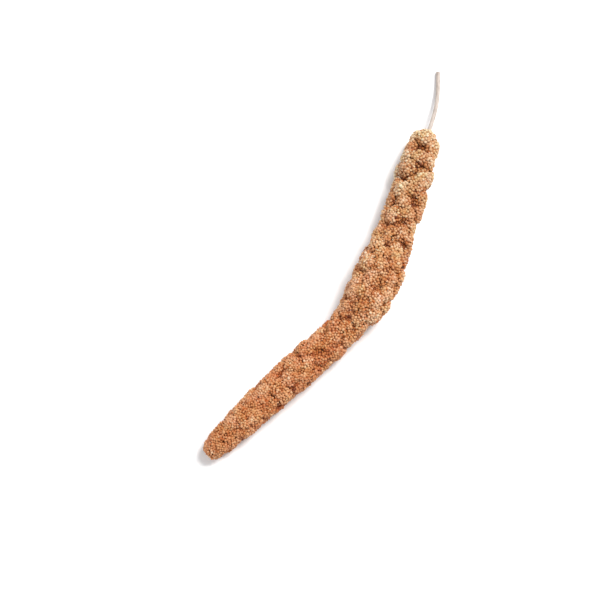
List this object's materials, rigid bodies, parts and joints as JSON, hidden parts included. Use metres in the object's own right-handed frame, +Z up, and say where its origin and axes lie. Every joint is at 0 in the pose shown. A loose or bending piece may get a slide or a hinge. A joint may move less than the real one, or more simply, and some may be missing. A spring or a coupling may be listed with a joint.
{
  "type": "millet seed head",
  "caption": "Dried foxtail millet head with a length of cut stem: a curved, tapering spike of bumpy seed clusters round a straw rachis, lying on its side.",
  "frame": {"origin": "middle of the outer box, on the surface that the head lies on", "axes": "+Z up from the surface, +Y along the longest extent towards the cut end of the stem, -X the side that the tip bends to"},
  "size_m": [0.1466, 0.2534, 0.0279],
  "materials": {
    "seeds": "small tan to orange-brown hulled grains with a faint gloss, dark in the gaps",
    "straw": "pale dry straw with fine lengthwise ribs, satin"
  },
  "bodies": {
    "root": {"stem": "straw", "seed_cluster_01": "seeds", "seed_cluster_02": "seeds", "seed_cluster_03": "seeds", "seed_cluster_04": "seeds", "seed_cluster_05": "seeds", "seed_cluster_06": "seeds", "seed_cluster_07": "seeds", "seed_cluster_08": "seeds", "seed_cluster_09": "seeds", "seed_cluster_10": "seeds", "seed_cluster_11": "seeds", "seed_cluster_12": "seeds", "seed_cluster_13": "seeds", "seed_cluster_14": "seeds", "seed_cluster_15": "seeds", "seed_cluster_16": "seeds", "seed_cluster_17": "seeds", "seed_cluster_18": "seeds", "seed_cluster_19": "seeds", "seed_cluster_20": "seeds", "seed_cluster_21": "seeds", "seed_cluster_22": "seeds", "seed_cluster_23": "seeds", "seed_cluster_24": "seeds", "seed_cluster_25": "seeds", "seed_cluster_26": "seeds", "seed_cluster_27": "seeds", "seed_cluster_28": "seeds", "seed_cluster_29": "seeds", "seed_cluster_30": "seeds", "seed_cluster_31": "seeds", "seed_cluster_32": "seeds", "seed_cluster_33": "seeds", "seed_cluster_34": "seeds", "seed_cluster_35": "seeds", "seed_cluster_36": "seeds", "seed_cluster_37": "seeds", "seed_cluster_38": "seeds", "seed_cluster_39": "seeds", "seed_cluster_40": "seeds", "seed_cluster_41": "seeds", "seed_cluster_42": "seeds", "seed_cluster_43": "seeds", "seed_cluster_44": "seeds", "seed_cluster_45": "seeds", "seed_cluster_46": "seeds", "seed_cluster_47": "seeds", "seed_cluster_48": "seeds", "seed_cluster_49": "seeds", "seed_cluster_50": "seeds", "seed_cluster_51": "seeds", "seed_cluster_52": "seeds", "seed_cluster_53": "seeds", "seed_cluster_54": "seeds", "seed_cluster_55": "seeds", "seed_cluster_56": "seeds", "seed_cluster_57": "seeds", "tip_cluster": "seeds"}
  },
  "joints": []
}
